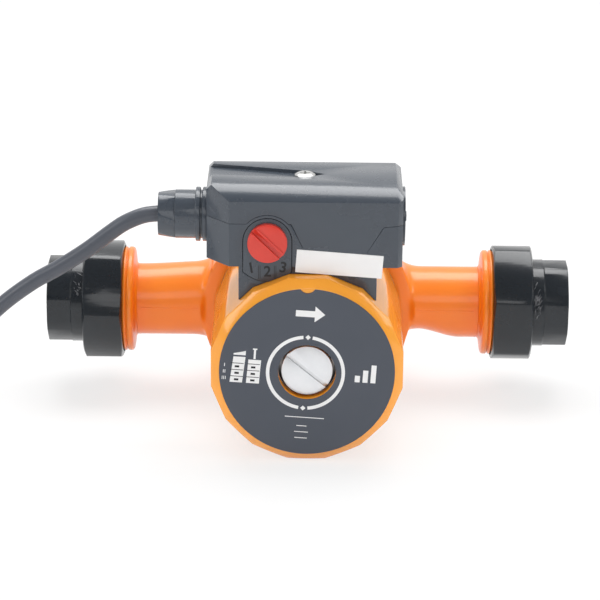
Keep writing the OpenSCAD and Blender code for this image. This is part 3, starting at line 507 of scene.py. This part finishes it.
def coil_radius(t):
    """Radius after t turns: in, a small dip where the spiral reverses, and out again."""
    if t < LAYER_LOOPS:
        return COIL_R - PITCH * t
    if t < LAYER_LOOPS + HALF_TURN:
        s = t - LAYER_LOOPS
        return COIL_R - PITCH * (LAYER_LOOPS + min(s, HALF_TURN - s))
    return COIL_R - PITCH * (TURNS_FULL - t)


def coil_rise(t):
    """Height above the first layer after t turns."""
    if t < LAYER_LOOPS:
        return 0.0
    if t < LAYER_LOOPS + HALF_TURN:
        return PITCH * (1 - math.cos(math.tau * (t - LAYER_LOOPS))) / 2
    left = max(0.0, 1 - (TURNS - t) / END_RISE_SHARE)
    return PITCH + END_RISE * (1 - math.cos(math.pi * left)) / 2


def coil_point(t):
    """Point of the lead's middle line after t turns of the coil, in millimetres."""
    a = COIL_START - math.tau * t
    r = coil_radius(t)
    return Vector((COIL_AT.x + r * math.cos(a), COIL_AT.y + r * math.sin(a), LIFT + coil_rise(t)))


print("coil starts", round(coil_radius(0), 1), "mm from its middle")

# %% [markdown]
# The free stretch is a few points joined by a smooth curve, as a springy lead would lie. It
# meets the coil's first turn in line with it, so no kink shows where the two join.

# %% Middle line of the lead


def rounded(points, steps):
    """Points of one smooth curve through the given points."""
    out = []
    for i in range(len(points) - 1):
        p0, p1 = points[max(i - 1, 0)], points[i]
        p2, p3 = points[i + 1], points[min(i + 2, len(points) - 1)]
        for k in range(steps):
            t = k / steps
            out.append(0.5 * (2 * p1 + (p2 - p0) * t + (2 * p0 - 5 * p1 + 4 * p2 - p3) * t * t
                              + (3 * p1 - p0 - 3 * p2 + p3) * t ** 3))
    return out + [points[-1]]


gland_low, gland_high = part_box("gland_nut")
EXIT = Vector((gland_low.x, (gland_low.y + gland_high.y) / 2, (gland_low.z + gland_high.z) / 2))
onto_coil = coil_point(0) + Vector((LEAD_D / MM, 0, 0))
free_line = [EXIT / MM] + [Vector(p) for p in ROUTE_MM] + [onto_coil]
coil_steps = round(TURNS * STEPS_A_TURN)
coil_line = [coil_point(i / STEPS_A_TURN) for i in range(coil_steps + 1)]
END_WAY = Vector((0, 1, 0))
lead_line = rounded(free_line, STEPS_A_BEND) + coil_line + [coil_line[-1] + END_WAY * LEAD_D / MM]

# %% [markdown]
# ## Cord grip of the plug
# The moulded sleeve behind a plug is cut with rings so that it bends in a soft curve. Rings
# spun round the lead's end stand for its ribs.

# %% Strain relief ribs
plug_low, plug_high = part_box("plug_body")
RIB_COUNT, RIB_FROM, RIB_STEP, RIB_T = 6, 3.0, 3.4, 1.6
RIB_R, RIB_GROWTH, RIB_SIDES = 6.0, 0.3, 40
RIB_EDGE, RIB_EDGE_STEPS = 0.4, 2
plug_x = (plug_low.x + plug_high.x) / 2
plug_z = (plug_low.z + plug_high.z) / 2
rib_build = bmesh.new()
for k in range(RIB_COUNT):
    y = plug_low.y + (RIB_FROM + k * RIB_STEP) * MM
    r = (RIB_R + RIB_GROWTH * k) * MM
    where = Matrix.Translation((plug_x, y, plug_z)) @ Matrix.Rotation(QUARTER, 4, "X")
    bmesh.ops.create_cone(rib_build, cap_ends=True, segments=RIB_SIDES, radius1=r, radius2=r,
                          depth=RIB_T * MM, matrix=where)
ribs = built_piece("plug_ribs", rib_build, FINISH["black_plastic"])
shade_smooth(ribs.data)
rib_edge = ribs.modifiers.new("edge", "BEVEL")
rib_edge.width = RIB_EDGE * MM
rib_edge.segments = RIB_EDGE_STEPS
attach(ribs, "root")
print("relief ribs:", RIB_COUNT)

# %% [markdown]
# The lead itself is a curve with a round bevel. It rides on the pump's fixed body and takes
# the place of both solids of the lead.

# %% Lead as a bevelled curve


def bevelled_curve(name, points_mm, radius, look, sides=8):
    """A round cord along points given in millimetres."""
    curve = bpy.data.curves.new(name, "CURVE")
    curve.dimensions = "3D"
    curve.bevel_depth = radius
    curve.bevel_resolution = sides
    curve.use_fill_caps = True
    spline = curve.splines.new("POLY")
    spline.points.add(len(points_mm) - 1)
    for p, q in zip(spline.points, points_mm):
        p.co = (*(Vector(q) * MM), 1)
    spline.use_smooth = True
    piece = bpy.data.objects.new(name, curve)
    bpy.context.collection.objects.link(piece)
    curve.materials.append(look)
    return piece


lead = bevelled_curve("mains_lead", lead_line, LEAD_D / 2, FINISH["lead_sheath"])
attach(lead, "root")
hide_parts("lead", "lead_coil")
print("lead: declared as a cord with", len(lead_line), "points")

# %% [markdown]
# ## Edges
# No moulded or cast edge is truly sharp: each carries a small round that catches a line of
# light. A bevel modifier on the frame's own piece rounds it without touching its mesh.

# %% Rounded edges
EDGE_ANGLE = math.radians(32)
EDGE_STEPS = 3
WELD_REACH = 0.00001


def round_edges(node, width_mm):
    """Rounds a piece's sharp edges and keeps its flat faces flat in the shading."""
    piece = nodes[node]
    weld = piece.modifiers.new("weld", "WELD")
    weld.merge_threshold = WELD_REACH
    edge = piece.modifiers.new("edge", "BEVEL")
    edge.width = width_mm * MM
    edge.segments = EDGE_STEPS
    edge.limit_method = "ANGLE"
    edge.angle_limit = EDGE_ANGLE
    edge.harden_normals = True
    edge.use_clamp_overlap = True
    shade_smooth(piece.data)


EDGE_MM = {"box_cover": 0.9, "box_base": 0.5, "dial_plate": 0.2, "speed_knob": 0.2, "vent_plug": 0.3,
           "cover_screw": 0.2, "inlet_nut": 0.35, "outlet_nut": 0.35, "inlet_tail": 0.4, "outlet_tail": 0.4,
           "gland_body": 0.3, "gland_nut": 0.3, "blanking_plug": 0.3, "motor_housing": 0.45,
           "housing_screws": 0.3, "plug_body": 1.2, "coil_tie": 0.2, "plug_pins": 0.6}
for node_name, width in EDGE_MM.items():
    round_edges(node_name, width)
print("pieces with rounded edges:", len(EDGE_MM))

# %% [markdown]
# ## Cast housing
# Cast iron comes out of sand with soft corners, and the paint softens them again. A voxel
# remesh of the solid, smoothed a few times, gives those fillets everywhere at once, which
# single bevels can't do where the necks run into the drum.

# %% Cast skin
CAST_VOXEL = 0.0008
CAST_SMOOTH, CAST_SMOOTH_SHARE = 7, 0.5


def cast_copy(node, name):
    """A softened copy of a solid that takes its place."""
    piece = bpy.data.objects.new(name, nodes[node].data.copy())
    bpy.context.collection.objects.link(piece)
    remesh = piece.modifiers.new("voxels", "REMESH")
    remesh.mode = "VOXEL"
    remesh.voxel_size = CAST_VOXEL
    smooth = piece.modifiers.new("fillets", "SMOOTH")
    smooth.factor = CAST_SMOOTH_SHARE
    smooth.iterations = CAST_SMOOTH
    bpy.context.view_layer.update()
    softened = piece.evaluated_get(bpy.context.evaluated_depsgraph_get())
    made = bpy.data.meshes.new_from_object(softened)
    piece.modifiers.clear()
    piece.data = made
    shade_smooth(made)
    return piece


cast = cast_copy("pump_housing", "cast_housing")
cast.data.materials.clear()
cast.data.materials.append(FINISH["orange_paint"])
print("cast housing faces:", len(cast.data.polygons))

# %% [markdown]
# A real casting isn't quite symmetric. The inlet neck grows towards the drum on top, and the
# outlet neck is drawn in below there. Moving the copy's points by an eased amount does both.
# The port collars shrink in the same pass, to make room for turned ones.

# %% Necks
COLLAR_FROM, COLLAR_TO = 77.4, 84
NECK_R, NECK_FROM, NECK_TO = 16.25, 44, 80
GROW_MM, GROW_FROM, GROW_LEN = 1.6, 78, 34
DRAW_MM, DRAW_FROM, DRAW_LEN, DRAW_END, DRAW_END_LEN = 4.2, 70, 20, 42, 5


def eased(t):
    """Smooth step from 0 to 1."""
    t = min(1.0, max(0.0, t))
    return t * t * (3 - 2 * t)


FULL_AT = 16
for v in cast.data.vertices:
    x, up = v.co.x / MM, (v.co.z - AXIS_Z) / MM
    out = math.hypot(v.co.y - PIPE_Y, v.co.z - AXIS_Z) / MM
    if COLLAR_FROM < abs(x) < COLLAR_TO and out > NECK_R:
        v.co.y = PIPE_Y + (v.co.y - PIPE_Y) * NECK_R / out
        v.co.z = AXIS_Z + (v.co.z - AXIS_Z) * NECK_R / out
        continue
    if -NECK_TO < x < -NECK_FROM and up > 0:
        v.co.z += eased((GROW_FROM + x) / GROW_LEN) * GROW_MM * MM * min(1.0, up / FULL_AT)
    if NECK_FROM < x < NECK_TO and up < 0:
        near = eased((DRAW_FROM - x) / DRAW_LEN) * eased((x - DRAW_END) / DRAW_END_LEN)
        v.co.z += near * DRAW_MM * MM * min(1.0, -up / FULL_AT)
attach(cast, "root")
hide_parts("pump_housing")
print("necks shaped, radius", NECK_R, "mm at the ports")

# %% [markdown]
# The collars of the two ports are turned after casting: a rounded shoulder, then a sharp
# first groove of the thread beside the nut. A lathe profile, spun round the pipe axis, keeps
# that line crisp where the softened casting would lose it.

# %% Port collars
COLLAR_LINE = ((77.6, 16.1), (78.3, 16.5), (78.9, 17.6), (79.2, 19.4), (79.35, 21.6), (79.6, 23.0),
               (80.1, 23.7), (80.8, 23.9), (82.0, 23.9), (82.35, 23.5), (82.6, 22.75), (82.85, 23.4),
               (83.2, 23.9), (84.0, 23.9), (84.6, 23.0), (84.6, 16.0))
COLLAR_STEPS = 96
SIDES = ((-1, "inlet"), (1, "outlet"))


def round_pipe(side, x, r, a):
    """A point on a circle round the pipe axis: a is the angle above the front."""
    return place(side * x, r * math.sin(a), r * math.cos(a))


def turned(name, line, side, look):
    """Spins a profile of (distance along the pipe, radius) round the pipe axis."""
    build = bmesh.new()
    rings = []
    for k in range(COLLAR_STEPS):
        a = math.tau * k / COLLAR_STEPS
        rings.append([build.verts.new(round_pipe(side, x, r, a)) for x, r in line])
    for k in range(COLLAR_STEPS):
        near, far = rings[k], rings[(k + 1) % COLLAR_STEPS]
        for i in range(len(line) - 1):
            build.faces.new((near[i], near[i + 1], far[i + 1], far[i]))
        build.faces.new((near[-1], near[0], far[0], far[-1]))
    bmesh.ops.recalc_face_normals(build, faces=build.faces)
    piece = built_piece(name, build, look)
    shade_smooth(piece.data)
    return piece


for side, name in SIDES:
    collar = turned(f"port_collar_{name}", COLLAR_LINE, side, FINISH["orange_paint"])
    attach(collar, "root")
print("port collars:", len(SIDES))

# %% [markdown]
# The two halves of the sand mould meet at the height of the pipe axis and leave a thin seam
# along each neck.

# %% Mould seams
SEAM_R, SEAM_UP, SEAM_SIDES = 0.3, 1.0, 3
SEAM_LINE = ((50, 0.1), (56, -0.1), (63, -0.15), (70, -0.15), (76, 0.0))
for side, name in SIDES:
    for front, face in ((1, "front"), (-1, "rear")):
        seam_line = [place(side * x, SEAM_UP, front * (NECK_R + bow)) / MM for x, bow in SEAM_LINE]
        seam = bevelled_curve(f"mould_seam_{name}_{face}", seam_line, SEAM_R * MM,
                              FINISH["orange_paint"], sides=SEAM_SIDES)
        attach(seam, "root")
print("mould seams:", 2 * len(SIDES))

# %% [markdown]
# ## Print
# The label is printed film. Print could be painted by a material, but that blurs from close
# by and needs an unwrapped face. Here each mark is a very thin solid just proud of the film,
# so its edge is crisp from any distance.

# %% Flat marks on a face
PRINT_T = 0.05
LABEL_TURN = math.radians(-3.5)
label_low, label_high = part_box("label_plate")
LABEL_FRONT = (PIPE_Y - label_low.y) / MM
print_white = finish_of("white_print", (0.84, 0.84, 0.84), (0.76, 0.76, 0.76), 0.5, amount=0.2)
print_dark = finish_of("dark_print", (0.012, 0.013, 0.016), (0.008, 0.008, 0.01), 0.5, amount=0.2)


def flat_marks(name, outlines, forward, look, turn=0.0, centre=(0.0, 0.0)):
    """Thin printed marks; each outline is a list of (right, up) points in millimetres."""
    build = bmesh.new()
    spin = Matrix.Rotation(turn, 2)
    for outline in outlines:
        rings = []
        for depth in (forward, forward + PRINT_T):
            ring = []
            for x, up in outline:
                p = spin @ Vector((x, up))
                ring.append(build.verts.new(place(p.x + centre[0], p.y + centre[1], depth)))
            rings.append(ring)
        build.faces.new(rings[0][::-1])
        build.faces.new(rings[1])
        count = len(outline)
        for i in range(count):
            j = (i + 1) % count
            build.faces.new((rings[0][i], rings[0][j], rings[1][j], rings[1][i]))
    bmesh.ops.recalc_face_normals(build, faces=build.faces)
    piece = built_piece(name, build, look)
    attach(piece, "root")
    return piece


def arc_band(r, stroke, start, end, steps=40):
    """Outline of a band along an arc, with angles in degrees."""
    angles = [math.radians(start + (end - start) * i / steps) for i in range(steps + 1)]
    outer = [((r + stroke / 2) * math.cos(a), (r + stroke / 2) * math.sin(a)) for a in angles]
    inner = [((r - stroke / 2) * math.cos(a), (r - stroke / 2) * math.sin(a)) for a in angles]
    return outer + inner[::-1]


def box_mark(x, up, w, h):
    """Outline of a rectangle about its middle."""
    left, right, low, high = x - w / 2, x + w / 2, up - h / 2, up + h / 2
    return [(left, low), (right, low), (right, high), (left, high)]


def diamond(x, up, r):
    """Outline of a square stood on its corner."""
    return [(x + r, up), (x, up + r), (x - r, up), (x, up - r)]


print("label front:", round(LABEL_FRONT, 2), "mm ahead of the pipe axis")


# %% [markdown]
# The marks are laid out in millimetres from the label's centre: a ring in two halves with a
# diamond above and below, a flow arrow, three rising bars and four rules. A plain chart of
# two columns stands on the left. The label was stuck on a little turned, and so is its print.

# %% Marks of the label
RING_R, RING_STROKE, RING_GAP = 16.3, 1.5, 7.0
RING_OFF = (-0.65, -0.2)
DIAMOND_R = 1.15
marks = [arc_band(RING_R, RING_STROKE, 90 + RING_GAP, 270 - RING_GAP),
         arc_band(RING_R, RING_STROKE, -90 + RING_GAP, 90 - RING_GAP),
         diamond(0, RING_R, DIAMOND_R), diamond(0, -RING_R, DIAMOND_R)]
marks += [[(-6, 25.6), (2.2, 25.6), (2.2, 23.4), (6.6, 27), (2.2, 30.6), (2.2, 28.4), (-6, 28.4)]]
marks += [box_mark(22.5 + 3.4 * i, -1.2 + 1.3 * i, 2.2, 3 + 2.6 * i) for i in range(3)]
marks += [box_mark(1.0, -20.6, 17, 0.35), box_mark(0, -24.6, 4.4, 0.35),
          box_mark(0, -27.4, 6.0, 0.35), box_mark(0, -30.2, 5.4, 0.35)]
marks += [[(-32.4, -6.4), (-27, -6.4), (-26.2, 5.4), (-31.4, 5.4)],
          [(-25.3, -6.4), (-19.7, -6.4), (-19.4, 4.4), (-24.9, 4.4)]]
marks += [[(-31.4, 6.2), (-26.2, 6.2), (-26.2, 8.2), (-28.4, 7.6), (-31.4, 6.9)],
          box_mark(-22.3, 6.9, 0.9, 4.2), box_mark(-22.3, 9.3, 1.9, 0.6)]
marks += [box_mark(-35.0 + 0.7 * k - 0.35 * row, 1.4 - 3.0 * row, 0.28, 1.5)
          for row in range(3) for k in range(row + 1)]
printed = flat_marks("label_print", marks, LABEL_FRONT, print_white,
                     turn=LABEL_TURN, centre=RING_OFF)
print("label marks:", len(printed.data.polygons), "faces")

# %% [markdown]
# The chart's rows are dark lines printed over its white columns. They lie one print's
# thickness further out, so the two never share a face.

# %% Lines of the chart
COLUMN_X, ROW_STEP = (-29.6, -22.6), 3.0
row_lines = [box_mark(x, -3.6 + ROW_STEP * i, 5.6, 0.28) for i in range(3) for x in COLUMN_X]
row_lines += [box_mark(x, -5.1 + ROW_STEP * i, 1.9, 0.9) for i in range(3) for x in COLUMN_X]
flat_marks("label_table_lines", row_lines, LABEL_FRONT + PRINT_T, print_dark,
           turn=LABEL_TURN, centre=RING_OFF)
print("chart lines:", len(row_lines))

# %% [markdown]
# ## Dial
# The numbers 1 2 3 under the knob are dark against the slate plate. The built-in typeface
# serves for plain numbers: each is given a little thickness and set on the plate, leaning as
# it follows the knob's edge. Pairs of thin lines divide the three places.

# %% Numbers and dividers
dial_low, dial_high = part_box("dial_plate")
DIAL_FRONT = (PIPE_Y - dial_low.y) / MM
NUMBER_H, NUMBER_H_SHARE = 5.6, 1.18
NUMBER_BOLD, NUMBER_STEPS = 0.12, 6
NUMBERS = (("1", -24.4, 44.2, 10), ("2", -17.4, 42.7, 0), ("3", -10.7, 44.6, -10))


def number_piece(text, x, up, lean):
    """A plain number as a thin solid on the dial."""
    letter = bpy.data.curves.new("number_" + text, "FONT")
    letter.body = text
    letter.align_x = "CENTER"
    letter.align_y = "CENTER"
    letter.size = NUMBER_H * NUMBER_H_SHARE * MM
    letter.extrude = PRINT_T * MM
    letter.offset = NUMBER_BOLD * MM
    letter.resolution_u = NUMBER_STEPS
    holder = bpy.data.objects.new("dial_number_" + text, letter)
    bpy.context.collection.objects.link(holder)
    holder.matrix_world = (Matrix.Translation(place(x, up, DIAL_FRONT))
                           @ Matrix.Rotation(QUARTER, 4, "X")
                           @ Matrix.Rotation(math.radians(lean), 4, "Z"))
    letter.materials.append(print_dark)
    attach(holder, "root")


for text, x, up, lean in NUMBERS:
    number_piece(text, x, up, lean)
DIVIDER_X, DIVIDER_HALF, DIVIDER_UP = (-20.9, -14.1), 0.35, 42.4
divider_marks = [box_mark(x + dx, DIVIDER_UP, 0.22, 6.2)
                 for x in DIVIDER_X for dx in (-DIVIDER_HALF, DIVIDER_HALF)]
flat_marks("dial_dividers", divider_marks, DIAL_FRONT, print_dark)
print("dial numbers:", len(NUMBERS))

# %% [markdown]
# ## Wear and small parts
# Union tails are gripped with a wrench when they are screwed onto the pipe, so their enamel
# is scratched through to bright iron. Each scratch is a short thin sliver lying on the round
# surface; a few dozen of them in one mesh read as wear.

# %% Wrench scratches
SCRATCH_LEN, SCRATCH_WIDTH, SCRATCH_LEAN = (0.8, 3.2), (0.06, 0.2), (62, 18)
SCRATCH_SUNK, SCRATCH_PROUD = 0.03, 0.035
BAND_R, BAND_FROM, BAND_TO = 19.9, 103.4, 106.4
random.seed(11)
bare_iron = finish_of("bare_iron", (0.5, 0.5, 0.52), (0.3, 0.3, 0.31), 0.35, metal=0.8,
                      clouds=700, amount=0.6)


def scratch_mesh(name, side, low, high, count):
    """Thin slivers on a tail's round band, between two angles in degrees above the front."""
    build = bmesh.new()
    for _ in range(count):
        x = random.uniform(BAND_FROM, BAND_TO)
        a = math.radians(random.gauss((low + high) / 2, (high - low) / 4))
        length, width = random.uniform(*SCRATCH_LEN), random.uniform(*SCRATCH_WIDTH)
        lean = math.radians(random.gauss(*SCRATCH_LEAN))
        corners = []
        for u, w in ((-0.5, 0), (0, -0.5), (0.5, 0), (0, 0.5)):
            along = u * length * math.cos(lean) - w * width * math.sin(lean)
            around = u * length * math.sin(lean) + w * width * math.cos(lean)
            corners.append((x + along, a + around / BAND_R))
        lower = [build.verts.new(round_pipe(side, cx, BAND_R - SCRATCH_SUNK, ca)) for cx, ca in corners]
        upper = [build.verts.new(round_pipe(side, cx, BAND_R + SCRATCH_PROUD, ca)) for cx, ca in corners]
        build.faces.new(upper)
        build.faces.new(lower[::-1])
        for i in range(4):
            j = (i + 1) % 4
            build.faces.new((lower[i], lower[j], upper[j], upper[i]))
    bmesh.ops.recalc_face_normals(build, faces=build.faces)
    return built_piece(name, build, bare_iron)


for side, name, count, low, high in ((1, "outlet", 46, 2, 34), (-1, "inlet", 15, 20, 50)):
    scratches = scratch_mesh(f"wrench_scratches_{name}", side, low, high, count)
    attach(scratches, "root")
    print("scratches on the", name, "tail:", count)

# %% [markdown]
# ## Threads inside the tails
# Each tail is cut with a female pipe thread. A helix swept round the bore, triangular in
# section, shows the thread that the solid leaves plain.

# %% Female thread
TAIL_END, THREAD_INSET = 118.9, 1.0
THREAD_R, THREAD_TOOTH, THREAD_LEN = 15.15, 0.9, 14.5
THREAD_TURNS, THREAD_STEPS = 6, 40
THREAD_FLANK_SHARE, THREAD_SUNK, THREAD_FADE_SHARE = 0.45, 0.05, 0.5


def thread_ridge(name, side, look):
    """A triangular ridge that winds along a tail's bore."""
    build = bmesh.new()
    rings = []
    count = THREAD_TURNS * THREAD_STEPS
    pitch = THREAD_LEN / (THREAD_TURNS + 1)
    flank = pitch * THREAD_FLANK_SHARE
    root_r = THREAD_R + THREAD_SUNK
    for k in range(count + 1):
        a = math.tau * k / THREAD_STEPS
        x = TAIL_END - THREAD_INSET - pitch * (0.5 + k / THREAD_STEPS)
        fade = min(1.0, k / THREAD_STEPS / THREAD_FADE_SHARE,
                   (count - k) / THREAD_STEPS / THREAD_FADE_SHARE)
        tip_r = THREAD_R - THREAD_SUNK - THREAD_TOOTH * fade
        section = ((x - flank, root_r), (x, tip_r), (x + flank, root_r))
        rings.append([build.verts.new(round_pipe(side, sx, r, a)) for sx, r in section])
    for near, far in zip(rings, rings[1:]):
        for i in range(3):
            j = (i + 1) % 3
            build.faces.new((near[i], near[j], far[j], far[i]))
    build.faces.new(rings[0][::-1])
    build.faces.new(rings[-1])
    bmesh.ops.recalc_face_normals(build, faces=build.faces)
    return built_piece(name, build, look)


for side, name in SIDES:
    ridge = thread_ridge(f"tail_thread_{name}", side, FINISH["black_iron"])
    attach(ridge, "root")
print("threads:", len(SIDES), "of", THREAD_TURNS, "turns")

# %% Finish
print("scene set up")
